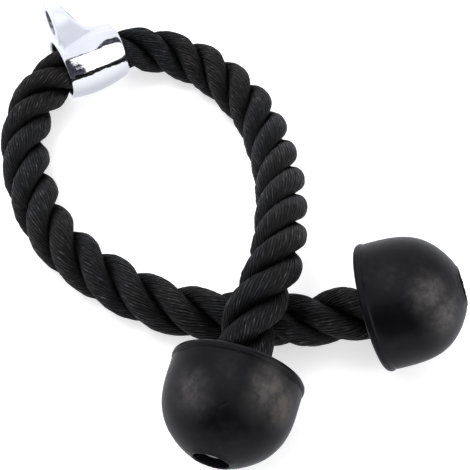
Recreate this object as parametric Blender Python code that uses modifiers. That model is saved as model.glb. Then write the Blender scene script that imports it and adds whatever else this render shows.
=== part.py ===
"""A triceps rope: a thick three-strand rope with a plated eye collar at its
middle and a domed rubber stop on each end, lying in a crossed loop.

Metres, +Z up. +X runs along the collar's axis, from its wide mouth to its
narrow one. The origin is on the surface that it lies on, under the middle of
the collar and the two stops.
"""

import math

import bmesh
import bpy
import numpy as np
from mathutils import Matrix, Vector

MM = 0.001

# ---------------------------------------------------------------- dimensions
# All in millimetres.
SHIFT = (-3.88, 19.53, 0.0)   # ground point under the middle of the collar and the stops

# Rope
ROPE_R = 13.5            # free rope, mean of strand crests and grooves
ROPE_SQUEEZED_R = 12.2   # where the collar's throat grips it
ROPE_END_R = 11.6        # where a ferrule is pressed onto it
ROPE_POINTS = 79

# Collar: outer radius along its axis, measured from its middle
COLLAR_POS = (-25.1, 145.6, 19.8)
COLLAR_OUTER = (
    (-20.2, 17.7), (-20.1, 18.3), (-19.6, 18.8), (-18.7, 19.1), (-15.0, 19.5), (-11.0, 19.7),
    (-7.0, 19.8), (-2.0, 19.5), (3.0, 18.9), (8.0, 18.0), (12.0, 17.1), (15.0, 16.2),
    (16.8, 15.6), (18.1, 14.9), (18.5, 14.5),
)
COLLAR_BORE = (
    (18.5, 14.2), (18.1, 13.95), (16.5, 13.6), (12.0, 13.4), (6.0, 13.5), (0.0, 14.2),
    (-7.0, 15.3), (-14.0, 16.2), (-18.6, 16.6), (-19.6, 16.8), (-20.2, 17.1),
)
EYE_ROLL_DEG = 68.0      # the eye's direction above the horizontal
EYE_HEIGHT = 30.4        # hole centre from the collar's axis
EYE_HOLE_R = 7.3         # at the flat face
EYE_HOLE_NARROWS = 0.05  # of the radius for each millimetre in
EYE_HOLE_TILT_DEG = 16.0 # the hole rises from the flat face towards the lug's back
# The lug that carries the eye, from its flat face to where it runs out near the narrow mouth:
# (along the axis, top height, half width, half width at its root, radius of its two top corners)
LUG = (
    (-19.2, 44.0, 13.6, 12.2, 13.6), (-15.5, 43.2, 12.8, 12.0, 12.8), (-13.0, 42.4, 12.3, 11.8, 12.2),
    (-12.0, 41.0, 11.9, 11.4, 10.6), (-11.0, 38.9, 11.3, 11.2, 8.0), (-10.0, 37.0, 10.8, 10.9, 6.0),
    (-9.0, 35.6, 10.4, 10.6, 5.0), (-7.5, 32.8, 9.8, 10.2, 4.2), (-6.0, 30.3, 9.1, 9.8, 3.8),
    (-4.0, 27.0, 8.3, 9.2, 3.5), (-1.5, 24.3, 7.2, 8.4, 3.2), (1.5, 22.5, 6.0, 7.4, 3.0),
    (5.0, 21.4, 4.9, 6.3, 3.0), (9.0, 20.6, 4.0, 5.3, 2.8), (12.5, 20.0, 3.3, 4.5, 2.6),
    (15.2, 19.2, 2.8, 3.8, 2.4), (17.0, 16.6, 2.4, 3.2, 2.0), (18.0, 13.2, 2.0, 2.6, 1.6),
)
LUG_ROOT_HEIGHT = 9.0
LUG_CORNER_POINTS = 9

# Rubber stop: s runs from its flat face towards its dome
STOP_LIP_R = 32.0
STOP_LIP_DEPTH = 3.2
STOP_BODY_R = 31.4
STOP_LENGTH = 44.9
STOP_DOME_POWER = 3.98
STOP_DOME_ROOT = 1.23
STOP_BORE_R = 14.2
STOP_BORE_DEPTH = 32.0
STOP_WEB_HOLE_R = 4.4
STOP_POCKET_FLOOR = 36.6
STOP_POCKET_R = 8.6
STOP_STEPS = 48

# Pieces on each rope end, along s
FERRULE_OPEN_S = 8.0
FERRULE_FLOOR_S = 26.6
FERRULE_END_S = 31.6
FERRULE_R = 13.4
FERRULE_BORE_R = 12.0
FERRULE_HOLE_R = 3.4
ROPE_END_S = 26.2
WASHER_S = 36.9
WASHER_THICK = 1.5
WASHER_R = 8.1
SCREW_HEAD_S = 38.7
SCREW_HEAD_H = 3.6
SCREW_HEAD_R = 5.0
SCREW_SHANK_R = 3.0
SCREW_TIP_S = 27.0
SCREW_SOCKET_R = 2.3
SCREW_SOCKET_DEPTH = 2.0

# Rim centres, headings about +Z and slopes of the two stops' axes
FRONT_RIM = (-43.13, -89.46, 32.06)
FRONT_HEADING_DEG = -132.81
FRONT_SLOPE_DEG = -3.44
RIGHT_RIM = (32.94, -87.63, 29.20)
RIGHT_HEADING_DEG = -23.04
RIGHT_SLOPE_DEG = 22.57

# The rope's middle line, from inside the right stop, under the crossing,
# round the loop, through the collar, over the crossing, into the front stop
ROUTE = [
    (55.0, -97.0, 39.2), (39.8, -90.6, 32.3), (24.8, -84.3, 25.5), (10.2, -76.7, 19.2),
    (-4.7, -68.0, 14.9), (-19.9, -58.4, 14.0), (-35.5, -49.2, 14.0), (-50.0, -38.3, 14.0),
    (-62.4, -25.5, 14.1), (-72.8, -10.9, 14.2), (-81.7, 4.6, 14.2), (-88.7, 21.0, 14.1),
    (-93.0, 38.3, 14.0), (-94.0, 56.2, 14.0), (-92.7, 74.0, 14.0), (-89.6, 91.6, 14.0),
    (-84.0, 108.5, 14.3), (-75.0, 123.8, 15.9), (-62.0, 135.7, 18.2), (-45.7, 143.0, 19.6),
    (-28.1, 145.5, 19.9), (-10.2, 145.0, 19.8), (6.9, 140.5, 18.1), (21.7, 130.7, 15.6),
    (32.9, 116.9, 14.2), (40.1, 100.6, 14.0), (44.1, 83.2, 14.3), (45.2, 65.4, 15.5),
    (43.0, 47.9, 17.8), (38.5, 30.9, 21.4), (33.2, 14.5, 26.1), (26.8, -1.3, 31.4),
    (19.0, -16.5, 36.5), (10.2, -31.5, 40.9), (0.4, -46.2, 43.5), (-12.0, -59.0, 43.4),
    (-25.7, -69.5, 39.3), (-37.0, -82.0, 33.4), (-48.6, -95.5, 31.5), (-60.8, -108.5, 30.5),
]


# ------------------------------------------------------------------- helpers
def clear_scene():
    for obj in list(bpy.data.objects):
        bpy.data.objects.remove(obj, do_unlink=True)
    for block in list(bpy.data.meshes) + list(bpy.data.curves):
        if block.users == 0:
            (bpy.data.meshes if isinstance(block, bpy.types.Mesh) else bpy.data.curves).remove(block)


def new_collection(name):
    found = bpy.data.collections.new(name)
    bpy.context.scene.collection.children.link(found)
    return found


def material(name, colour, roughness, metallic):
    made = bpy.data.materials.new(name)
    made.use_nodes = True
    shader = made.node_tree.nodes["Principled BSDF"]
    shader.inputs["Base Color"].default_value = (*colour, 1.0)
    shader.inputs["Roughness"].default_value = roughness
    shader.inputs["Metallic"].default_value = metallic
    made.diffuse_color = (*colour, 1.0)
    return made


def place(obj, collection, parent=None):
    collection.objects.link(obj)
    obj.parent = parent
    return obj


def smooth(mesh, angle_deg=35.0):
    mesh.shade_smooth()
    mesh.set_sharp_from_angle(angle=math.radians(angle_deg))


def turned(name, profile, steps, collection, parent=None, look=None):
    """A closed (radius, height) profile in millimetres turned about local Z.

    It runs down the outer side and back up the inner side.
    """
    mesh = bpy.data.meshes.new(name)
    points = [(r * MM, 0.0, h * MM) for r, h in profile]
    count = len(points)
    mesh.from_pydata(points, [(i, (i + 1) % count) for i in range(count)], [])
    obj = place(bpy.data.objects.new(name, mesh), collection, parent)
    spin = obj.modifiers.new("turn", "SCREW")
    spin.angle = math.tau
    spin.steps = steps
    spin.render_steps = steps
    spin.use_merge_vertices = True
    spin.merge_threshold = 0.00001
    spin.use_smooth_shade = True
    if look:
        mesh.materials.append(look)
    return obj


def drum(name, radius, low, high, collection, parent, sides=48, offset_x=0.0, ease=0.0):
    """A cylinder along local Z from low to high, in millimetres."""
    mesh = bpy.data.meshes.new(name)
    bm = bmesh.new()
    bmesh.ops.create_cone(
        bm, cap_ends=True, segments=sides, radius1=radius * MM, radius2=radius * MM, depth=(high - low) * MM
    )
    if ease:
        rim = [e for e in bm.edges if all(v.co.z > 0 for v in e.verts)]
        bmesh.ops.bevel(bm, geom=rim, offset=ease * MM, segments=4, affect="EDGES", profile=0.5)
    bmesh.ops.translate(bm, verts=bm.verts, vec=(offset_x * MM, 0, (low + high) / 2 * MM))
    bm.to_mesh(mesh)
    bm.free()
    return place(bpy.data.objects.new(name, mesh), collection, parent)


def cutter_look(obj):
    obj.hide_render = True
    obj.display_type = "WIRE"
    return obj


def combine(obj, other, operation):
    step = obj.modifiers.new(operation.lower() + "_" + other.name, "BOOLEAN")
    step.operation = operation
    step.solver = "EXACT"
    step.object = other


def empty(name, collection, matrix):
    made = bpy.data.objects.new(name, None)
    made.empty_display_size = 0.02
    collection.objects.link(made)
    made.matrix_world = matrix
    return made


def frame_along(position, axis, side):
    """A matrix at a point whose local Z is the axis and local X is nearest to side."""
    z = Vector(axis).normalized()
    x = (Vector(side) - z * z.dot(Vector(side))).normalized()
    y = z.cross(x)
    turn = Matrix((x, y, z)).transposed().to_4x4()
    here = Vector([(p - s) * MM for p, s in zip(position, SHIFT)])
    return Matrix.Translation(here) @ turn


def heading(azimuth_deg, slope_deg):
    a, s = math.radians(azimuth_deg), math.radians(slope_deg)
    return (math.cos(a) * math.cos(s), math.sin(a) * math.cos(s), math.sin(s))


def natural_spline(knots, count):
    """Points at even steps of chord length on the natural cubic spline through the knots."""
    p = np.array(knots, float)
    h = np.linalg.norm(np.diff(p, axis=0), axis=1)
    t = np.concatenate([[0.0], np.cumsum(h)])
    n = len(p)
    a = np.eye(n)
    b = np.zeros((n, 3))
    for i in range(1, n - 1):
        a[i, i - 1], a[i, i], a[i, i + 1] = h[i - 1], 2 * (h[i - 1] + h[i]), h[i]
        b[i] = 6 * ((p[i + 1] - p[i]) / h[i] - (p[i] - p[i - 1]) / h[i - 1])
    m = np.linalg.solve(a, b)
    out = []
    for s in np.linspace(0.0, t[-1], count):
        i = int(min(max(np.searchsorted(t, s) - 1, 0), n - 2))
        u, w = (t[i + 1] - s) / h[i], (s - t[i]) / h[i]
        out.append(u * p[i] + w * p[i + 1] + ((u**3 - u) * m[i] + (w**3 - w) * m[i + 1]) * h[i] ** 2 / 6)
    return np.array(out)


def ease_step(value, low, high):
    x = min(max((value - low) / (high - low), 0.0), 1.0)
    return x * x * (3 - 2 * x)


# --------------------------------------------------------------------- parts
def rope_radius(point, ends):
    """The rope's radius at a point of its middle line, in millimetres."""
    along = point[0] - COLLAR_POS[0]
    near = abs(point[1] - COLLAR_POS[1]) < 30.0
    radius = ROPE_R
    if near:
        grip = ease_step(along, -10.0, 0.0) * (1 - ease_step(along, 23.0, 32.0))
        radius -= (ROPE_R - ROPE_SQUEEZED_R) * grip
    for rim, axis in ends:
        depth = float(np.dot(np.array(point) - np.array(rim), axis))
        if 0.0 < depth < 40.0 and np.linalg.norm(np.array(point) - np.array(rim)) < 40.0:
            radius = min(radius, ROPE_R - (ROPE_R - ROPE_END_R) * ease_step(depth, 1.0, 7.0))
    return radius


def build_rope(collection, look, ends):
    path = natural_spline(ROUTE, ROPE_POINTS)
    curve = bpy.data.curves.new("rope", "CURVE")
    curve.dimensions = "3D"
    curve.bevel_depth = ROPE_R * MM
    curve.bevel_resolution = 4
    curve.use_fill_caps = True
    spline = curve.splines.new("POLY")
    spline.points.add(len(path) - 1)
    for place_, at in zip(spline.points, path):
        place_.co = (*((at - np.array(SHIFT)) * MM), 1.0)
        place_.radius = rope_radius(at, ends) / ROPE_R
    spline.use_smooth = True
    curve.materials.append(look)
    return place(bpy.data.objects.new("rope", curve), collection)


def lug_outline(top, half, root, corner):
    """A flat-topped outline with two rounded corners that runs down to its root inside the sleeve."""
    side = [(LUG_ROOT_HEIGHT, root)]
    for i in range(LUG_CORNER_POINTS):
        angle = math.pi / 2 * i / (LUG_CORNER_POINTS - 0.5)
        side.append((top - corner + corner * math.sin(angle), half - corner + corner * math.cos(angle)))
    return side + [(height, -across) for height, across in reversed(side)]


def build_collar(collection, cutters, look, axis_frame, eye_frame):
    """A bell-shaped sleeve with an eye that stands on a lug, cast in one."""
    low, high = COLLAR_OUTER[0][0], COLLAR_OUTER[-1][0]
    outer = [(r, u) for u, r in reversed(COLLAR_OUTER)]
    body = turned("collar", [(9.0, high)] + outer + [(9.0, low)], 48, collection, axis_frame, look)

    mesh = bpy.data.meshes.new("eye_lug")
    bm = bmesh.new()
    rings = [
        [bm.verts.new((height * MM, across * MM, u * MM)) for height, across in lug_outline(*section)]
        for u, *section in LUG
    ]
    for near, far in zip(rings, rings[1:]):
        for i in range(len(near)):
            j = (i + 1) % len(near)
            bm.faces.new((near[i], near[j], far[j], far[i]))
    bm.faces.new(list(reversed(rings[0])))
    bm.faces.new(rings[-1])
    bmesh.ops.recalc_face_normals(bm, faces=bm.faces)
    bm.to_mesh(mesh)
    bm.free()
    lug = cutter_look(place(bpy.data.objects.new("eye_lug", mesh), cutters, axis_frame))

    wall = [(r, u) for u, r in COLLAR_BORE]
    bore_profile = [(0.0, 26.0), (wall[0][0], 26.0)] + wall + [(wall[-1][0], -26.0), (0.0, -26.0)]
    bore = cutter_look(turned("collar_bore", bore_profile, 48, cutters, axis_frame))
    wide, narrow = EYE_HOLE_R + 8.0 * EYE_HOLE_NARROWS, EYE_HOLE_R - 24.0 * EYE_HOLE_NARROWS
    hole_profile = [(0.0, 24.0), (narrow, 24.0), (wide, -8.0), (0.0, -8.0)]
    hole = cutter_look(turned("eye_hole", hole_profile, 36, cutters, eye_frame))

    combine(body, lug, "UNION")
    combine(body, bore, "DIFFERENCE")
    combine(body, hole, "DIFFERENCE")
    return body


def stop_profile():
    """(radius, s) down the outer side from the flat face to the dome, then back through the bore."""
    reach = STOP_LENGTH / (1 - ((STOP_POCKET_R + 0.9) / STOP_BODY_R) ** STOP_DOME_ROOT) ** (1 / STOP_DOME_POWER)
    outer = [(29.6, 0.0), (30.9, 0.3), (31.7, 1.0), (STOP_LIP_R, 1.9), (31.9, STOP_LIP_DEPTH - 0.5),
             (STOP_BODY_R + 0.05, STOP_LIP_DEPTH)]
    for s in (5.0, 9.0, 13.0, 17.0, 20.5, 23.5, 26.5, 29.0, 31.3, 33.4, 35.4, 37.2, 38.9, 40.4, 41.8, 43.1, 44.1):
        outer.append((STOP_BODY_R * (1 - (s / reach) ** STOP_DOME_POWER) ** (1 / STOP_DOME_ROOT), s))
    outer += [(STOP_POCKET_R + 1.1, STOP_LENGTH - 0.15), (STOP_POCKET_R + 0.5, STOP_LENGTH)]
    inner = [(STOP_POCKET_R, STOP_LENGTH - 0.5), (STOP_POCKET_R, STOP_POCKET_FLOOR),
             (STOP_WEB_HOLE_R, STOP_POCKET_FLOOR), (STOP_WEB_HOLE_R, STOP_BORE_DEPTH),
             (STOP_BORE_R, STOP_BORE_DEPTH), (STOP_BORE_R, 1.2), (STOP_BORE_R + 1.0, 0.0)]
    return outer + inner


def build_end(side, rim, axis, collection, cutters, looks):
    """A stop and what holds it on its rope end. Local Z runs from the flat face to the dome."""
    base = empty(side + "_end_axis", collection, frame_along(rim, axis, (0, 0, 1)))
    flip = [(r, s) for r, s in reversed(stop_profile())]
    turned("rubber_stop_" + side, flip, STOP_STEPS, collection, base, looks["rubber"])

    ferrule = [
        (FERRULE_BORE_R, FERRULE_OPEN_S), (FERRULE_BORE_R, FERRULE_FLOOR_S), (FERRULE_HOLE_R, FERRULE_FLOOR_S),
        (FERRULE_HOLE_R, FERRULE_END_S), (FERRULE_R - 1.2, FERRULE_END_S), (FERRULE_R, FERRULE_END_S - 1.2),
        (FERRULE_R, FERRULE_OPEN_S + 0.6), (FERRULE_R - 0.6, FERRULE_OPEN_S),
    ]
    turned("rope_end_ferrule_" + side, ferrule, 32, collection, base, looks["steel"])

    top = WASHER_S + WASHER_THICK
    washer = [
        (3.4, WASHER_S), (3.4, top), (WASHER_R - 0.3, top), (WASHER_R, top - 0.3),
        (WASHER_R, WASHER_S + 0.3), (WASHER_R - 0.3, WASHER_S),
    ]
    turned("end_washer_" + side, washer, 32, collection, base, looks["steel"])

    crown = SCREW_HEAD_S + SCREW_HEAD_H
    screw = turned(
        "end_screw_" + side,
        [(0.0, crown), (SCREW_HEAD_R - 1.4, crown), (SCREW_HEAD_R - 0.4, crown - 0.5), (SCREW_HEAD_R, crown - 1.5),
         (SCREW_HEAD_R, SCREW_HEAD_S), (SCREW_SHANK_R, SCREW_HEAD_S), (SCREW_SHANK_R, SCREW_TIP_S + 0.8),
         (SCREW_SHANK_R - 0.8, SCREW_TIP_S), (0.0, SCREW_TIP_S)],
        28, collection, base, looks["steel"],
    )
    socket = cutter_look(
        drum("socket_" + side, SCREW_SOCKET_R, crown - SCREW_SOCKET_DEPTH, crown + 2.0, cutters, base, 6)
    )
    combine(screw, socket, "DIFFERENCE")
    return base


def main():
    clear_scene()
    parts = new_collection("triceps_rope")
    cutters = new_collection("cutters")
    looks = {
        "rope": material("black_nylon", (0.030, 0.029, 0.031), 0.50, 0.0),
        "rubber": material("black_rubber", (0.022, 0.022, 0.024), 0.46, 0.0),
        "chrome": material("bright_chrome", (0.80, 0.80, 0.82), 0.06, 1.0),
        "steel": material("zinc_steel", (0.55, 0.55, 0.56), 0.30, 1.0),
    }
    front = heading(FRONT_HEADING_DEG, FRONT_SLOPE_DEG)
    right = heading(RIGHT_HEADING_DEG, RIGHT_SLOPE_DEG)
    build_rope(parts, looks["rope"], [(FRONT_RIM, front), (RIGHT_RIM, right)])
    roll = math.radians(EYE_ROLL_DEG)
    collar_axis = empty(
        "collar_axis", parts, frame_along(COLLAR_POS, (1, 0, 0), (0, math.cos(roll), math.sin(roll)))
    )
    tilt = math.radians(EYE_HOLE_TILT_DEG)
    up = (0, math.cos(roll), math.sin(roll))
    eye_centre = np.array(COLLAR_POS) + LUG[0][0] * np.array((1, 0, 0)) + EYE_HEIGHT * np.array(up)
    along_eye = (math.cos(tilt), math.sin(tilt) * up[1], math.sin(tilt) * up[2])
    eye_axis = empty("eye_axis", parts, frame_along(eye_centre, along_eye, up))
    build_collar(parts, cutters, looks["chrome"], collar_axis, eye_axis)
    build_end("front", FRONT_RIM, front, parts, cutters, looks)
    build_end("right", RIGHT_RIM, right, parts, cutters, looks)
    bpy.context.view_layer.update()


main()
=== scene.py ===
import math

import bpy
import numpy as np
from mathutils import Matrix, Vector


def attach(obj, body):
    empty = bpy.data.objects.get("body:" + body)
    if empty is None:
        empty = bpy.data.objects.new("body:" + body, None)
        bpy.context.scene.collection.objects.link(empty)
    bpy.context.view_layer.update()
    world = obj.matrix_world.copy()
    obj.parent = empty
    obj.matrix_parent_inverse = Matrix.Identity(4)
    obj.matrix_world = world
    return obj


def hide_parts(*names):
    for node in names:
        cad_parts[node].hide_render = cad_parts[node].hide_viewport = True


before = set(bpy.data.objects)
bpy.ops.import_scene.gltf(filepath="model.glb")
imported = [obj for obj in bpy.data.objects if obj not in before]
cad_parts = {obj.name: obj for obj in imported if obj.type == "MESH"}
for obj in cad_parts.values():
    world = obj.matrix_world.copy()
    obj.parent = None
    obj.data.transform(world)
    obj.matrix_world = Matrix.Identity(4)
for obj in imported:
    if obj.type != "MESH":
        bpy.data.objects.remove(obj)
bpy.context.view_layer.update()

MM = 0.001
SHIFT = np.array((-3.88, 19.53, 0.0))   # all the points below are in millimetres before this shift

# ------------------------------------------------------------------ camera
CAMERA_AT = (-127.755, -254.013, 422.964)
CAMERA_LOOK = (0.25067, 0.49841, -0.82991)
CAMERA_LENS = 68.94


def to_row(point):
    return Vector([(p - s) * MM for p, s in zip(point, SHIFT)])


def make_camera():
    data = bpy.data.cameras.new("camera")
    data.lens = CAMERA_LENS
    data.sensor_width = 36.0
    data.clip_start = 0.01
    data.clip_end = 30.0
    cam = bpy.data.objects.new("camera", data)
    bpy.context.scene.collection.objects.link(cam)
    back = -Vector(CAMERA_LOOK).normalized()
    right = Vector((0, 0, 1)).cross(back).normalized()
    up = back.cross(right)
    cam.matrix_world = Matrix.Translation(to_row(CAMERA_AT)) @ Matrix((right, up, back)).transposed().to_4x4()
    bpy.context.scene.camera = cam


make_camera()


# ------------------------------------------------------------- mesh helpers
def mesh_object(name, points_mm, quads, smooth=True):
    """A mesh object from points in row millimetres and faces as index lists."""
    mesh = bpy.data.meshes.new(name)
    faces = quads.tolist() if isinstance(quads, np.ndarray) else quads
    mesh.from_pydata((np.asarray(points_mm) * MM).tolist(), [], faces)
    if smooth:
        mesh.shade_smooth()
    obj = bpy.data.objects.new(name, mesh)
    bpy.context.scene.collection.objects.link(obj)
    return obj


def ring_faces(rings, count, closed=False):
    """Quads between rings of count points each, as an (n, 4) array."""
    i = np.arange(rings if closed else rings - 1)[:, None]
    j = np.arange(count)[None, :]
    here, there = i * count, ((i + 1) % rings) * count
    k = (j + 1) % count
    return np.stack([here + j, here + k, there + k, there + j], axis=-1).reshape(-1, 4)


def point_attribute(obj, name, values):
    made = obj.data.attributes.new(name, "FLOAT", "POINT")
    made.data.foreach_set("value", np.asarray(values, np.float32).ravel())


def spline_values(knots_t, knots, at):
    """The natural cubic spline through (knots_t, knots), at the values at."""
    t = np.asarray(knots_t, float)
    p = np.asarray(knots, float).reshape(len(t), -1)
    h = np.diff(t)
    n = len(t)
    a = np.eye(n)
    b = np.zeros_like(p)
    for i in range(1, n - 1):
        a[i, i - 1], a[i, i], a[i, i + 1] = h[i - 1], 2 * (h[i - 1] + h[i]), h[i]
        b[i] = 6 * ((p[i + 1] - p[i]) / h[i] - (p[i] - p[i - 1]) / h[i - 1])
    m = np.linalg.solve(a, b)
    at = np.asarray(at, float)
    i = np.clip(np.searchsorted(t, at) - 1, 0, n - 2)
    u = ((t[i + 1] - at) / h[i])[:, None]
    w = ((at - t[i]) / h[i])[:, None]
    return u * p[i] + w * p[i + 1] + ((u**3 - u) * m[i] + (w**3 - w) * m[i + 1]) * (h[i] ** 2)[:, None] / 6


def ease(value, low, high):
    x = np.clip((value - low) / (high - low), 0.0, 1.0)
    return x * x * (3 - 2 * x)


def wobble(x, y, seed):
    """A smooth, repeatable unevenness of about -1 to 1."""
    out = np.zeros(np.broadcast(x, y).shape)
    rng = np.random.default_rng(seed)
    for k in range(6):
        fx, fy = rng.uniform(0.4, 1.7, 2) * (1.35**k)
        px, py = rng.uniform(0, math.tau, 2)
        out = out + np.sin(fx * x + px + 1.3 * np.sin(fy * y + py)) * np.cos(fy * y + px) / (1.25**k)
    return out / 2.2


# -------------------------------------------------------------------- rope
ROUTE = [
    (55.0, -97.0, 39.2), (39.8, -90.6, 32.3), (24.8, -84.3, 25.5), (10.2, -76.7, 19.2),
    (-4.7, -68.0, 14.9), (-19.9, -58.4, 14.0), (-35.5, -49.2, 14.0), (-50.0, -38.3, 14.0),
    (-62.4, -25.5, 14.1), (-72.8, -10.9, 14.2), (-81.7, 4.6, 14.2), (-88.7, 21.0, 14.1),
    (-93.0, 38.3, 14.0), (-94.0, 56.2, 14.0), (-92.7, 74.0, 14.0), (-89.6, 91.6, 14.0),
    (-84.0, 108.5, 14.3), (-75.0, 123.8, 15.9), (-62.0, 135.7, 18.2), (-45.7, 143.0, 19.6),
    (-28.1, 145.5, 19.9), (-10.2, 145.0, 19.8), (6.9, 140.5, 18.1), (21.7, 130.7, 15.6),
    (32.9, 116.9, 14.2), (40.1, 100.6, 14.0), (44.1, 83.2, 14.3), (45.2, 65.4, 15.5),
    (43.0, 47.9, 17.8), (38.5, 30.9, 21.4), (33.2, 14.5, 26.1), (26.8, -1.3, 31.4),
    (19.0, -16.5, 36.5), (10.2, -31.5, 40.9), (0.4, -46.2, 43.5), (-12.0, -59.0, 43.4),
    (-25.7, -69.5, 39.3), (-37.0, -82.0, 33.4), (-48.6, -95.5, 31.5), (-60.8, -108.5, 30.5),
]
CREST_R = 13.95          # over the strands' crests
SQUEEZED_R = 12.9        # in the collar's throat
END_R = 11.8             # in a ferrule
STRAND_OFFSET = 0.545    # of the crest radius: the strands' middles from the rope's
STRAND_WIDE = 0.570      # of the crest radius: half a strand's width round the rope
YARNS = 30               # round one strand
YARN_LAY = 1.85          # how fast the yarns wind back round a strand as it winds round the rope
YARN_DEPTH = 0.64

# How far a groove between two strands has wound round the rope, in degrees, at lengths along it
LAY = [
    (0.0, -213.0), (56.5, 63.0), (105.7, 304.4), (156.5, 549.2), (206.0, 798.9), (257.8, 1055.7),
    (311.4, 1318.6), (354.0, 1533.0), (398.2, 1754.9), (443.6, 1987.6), (489.4, 2212.9), (538.2, 2440.9),
    (584.0, 2667.1), (623.6, 2895.1), (697.3, 3300.0),
]

COLLAR_AT = np.array((-25.1, 145.6, 19.8))
FRONT_RIM = (-43.13, -89.46, 32.06)
RIGHT_RIM = (32.94, -87.63, 29.20)


def heading(azimuth_deg, slope_deg):
    a, s = math.radians(azimuth_deg), math.radians(slope_deg)
    return np.array((math.cos(a) * math.cos(s), math.sin(a) * math.cos(s), math.sin(s)))


FRONT_AXIS = heading(-132.81, -3.44)
RIGHT_AXIS = heading(-23.04, 22.57)


def rope_line(count):
    """Points at even steps along the rope's middle line, their tangents and two sides, and their lengths along it."""
    knots = np.array(ROUTE)
    t = np.concatenate([[0.0], np.cumsum(np.linalg.norm(np.diff(knots, axis=0), axis=1))])
    fine = spline_values(t, knots, np.linspace(0.0, t[-1], 6000))
    run = np.concatenate([[0.0], np.cumsum(np.linalg.norm(np.diff(fine, axis=0), axis=1))])
    along = np.linspace(0.0, run[-1], count)
    line = np.stack([np.interp(along, run, fine[:, k]) for k in range(3)], axis=1)
    tangent = np.gradient(line, along, axis=0)
    tangent /= np.linalg.norm(tangent, axis=1)[:, None]
    side = np.zeros_like(line)
    start = np.array((0.0, 0.0, 1.0))
    start -= tangent[0] * (tangent[0] @ start)
    side[0] = start / np.linalg.norm(start)
    for i in range(1, count):
        x = side[i - 1] - tangent[i] * (side[i - 1] @ tangent[i])
        side[i] = x / np.linalg.norm(x)
    return line, tangent, side, np.cross(tangent, side), along


def crest_radius(line):
    """The rope's crest radius along its middle line."""
    u = line[:, 0] - COLLAR_AT[0]
    near = np.abs(line[:, 1] - COLLAR_AT[1]) < 30.0
    grip = ease(u, -12.0, -1.0) * (1 - ease(u, 22.0, 31.0)) * near
    radius = CREST_R - (CREST_R - SQUEEZED_R) * grip
    for rim, axis in ((FRONT_RIM, FRONT_AXIS), (RIGHT_RIM, RIGHT_AXIS)):
        away = line - np.array(rim)
        depth = away @ axis
        close = np.linalg.norm(away, axis=1) < 45.0
        inside = close & (depth > 0)
        radius = np.where(inside, np.minimum(radius, CREST_R - (CREST_R - END_R) * ease(depth, 1.0, 7.0)), radius)
        swell = np.exp(-(((depth + 9.0) / 7.0) ** 2)) * close * ease(-depth, 0.0, 4.0)
        radius = radius + 0.7 * swell
    return radius


def build_rope():
    """Three strands, each a closed tube whose columns of points follow its yarns."""
    rings, each = ((500, YARNS * 7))
    line, tangent, side, other, along = rope_line(rings)
    lay = np.radians(spline_values([k[0] for k in LAY], [k[1] for k in LAY], along)[:, 0])
    crest = crest_radius(line)
    off, tall, wide = STRAND_OFFSET, 1.0 - STRAND_OFFSET, STRAND_WIDE
    s = along[:, None]
    column = np.arange(each) / each
    points, faces, yarns, lengths, grooves = [], [], [], [], []
    for strand in range(3):
        turn = (lay + math.radians(60.0 + 120.0 * strand))[:, None]
        beta = math.tau * column[None, :] - YARN_LAY * turn
        beta = beta + 0.035 * wobble(s / 8.0, np.cos(math.tau * column)[None, :] * 3.0, 31 + strand)
        beta = (beta + math.pi) % math.tau - math.pi
        phase = column * YARNS
        ridge = np.abs(np.cos(math.pi * phase)) ** 0.8
        thick = 0.80 + 0.20 * np.sin(2.399 * np.floor(phase + 0.5) + strand * 1.7)
        slack = 1.0 + 0.35 * wobble(s / 5.0, np.sin(math.tau * column)[None, :] * 9.0, 51 + strand)
        sink = YARN_DEPTH * (1.0 - (ridge * thick)[None, :] * np.clip(slack, 0.5, 1.25))
        uneven = 1.0 + 0.010 * wobble(s / 9.0, np.cos(beta) * 1.3 + strand * 2.1, 11 + strand)
        swell = crest[:, None] * uneven
        normal = np.stack([np.cos(beta) / tall, np.sin(beta) / wide], axis=-1)
        normal /= np.linalg.norm(normal, axis=-1)[..., None]
        x = (off + tall * np.cos(beta)) * swell - normal[..., 0] * sink
        y = wide * np.sin(beta) * swell - normal[..., 1] * sink
        # neighbours press each strand flat where they meet
        nx, ny = math.sin(math.radians(60.0)), math.cos(math.radians(60.0))
        over = np.maximum(np.abs(y) * ny - x * nx + 0.05, 0.0)
        x = x + over * nx
        y = y - np.sign(y) * over * ny
        low = x < 0.06
        x, y = np.where(low, 0.06, x), np.where(low, 0.0, y)
        c, d = np.cos(turn), np.sin(turn)
        px, py = x * c - y * d, x * d + y * c
        body = line[:, None] + px[..., None] * side[:, None] + py[..., None] * other[:, None] - SHIFT
        first = sum(len(p) for p in points)
        points.append(body.reshape(-1, 3))
        quads = ring_faces(rings, each)
        faces += (quads + first).tolist()
        row, col = np.divmod(np.arange(len(quads)), each)
        wrap = np.stack([col, col + 1, col + 1, col], axis=1) / each * YARNS + 40.0 * strand
        yarns.append(wrap.ravel())
        lengths.append(np.stack([along[row], along[row], along[row + 1], along[row + 1]], axis=1).ravel())
        grooves.append(np.clip(np.abs(beta) / math.radians(128.0), 0.0, 1.0).ravel())
        tips = []
        for ring in (0, rings - 1):
            tips.append(body[ring].mean(axis=0))
        tip = first + rings * each
        points.append(np.array(tips))
        grooves.append(np.ones(2))
        for j in range(each):
            k = (j + 1) % each
            faces.append([first + k, first + j, tip])
            faces.append([first + (rings - 1) * each + j, first + (rings - 1) * each + k, tip + 1])
        yarns.append(np.zeros(6 * each))
        lengths.append(np.zeros(6 * each))
    rope = mesh_object("laid_rope", np.concatenate(points), faces)
    strands = rope.data.uv_layers.new(name="yarns")
    flat = np.stack([np.concatenate(yarns), np.concatenate(lengths)], axis=1).astype(np.float32)
    strands.data.foreach_set("uv", flat.ravel())
    point_attribute(rope, "groove", np.concatenate(grooves))
    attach(rope, "rope_assembly")
    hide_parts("rope")
    return rope


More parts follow.
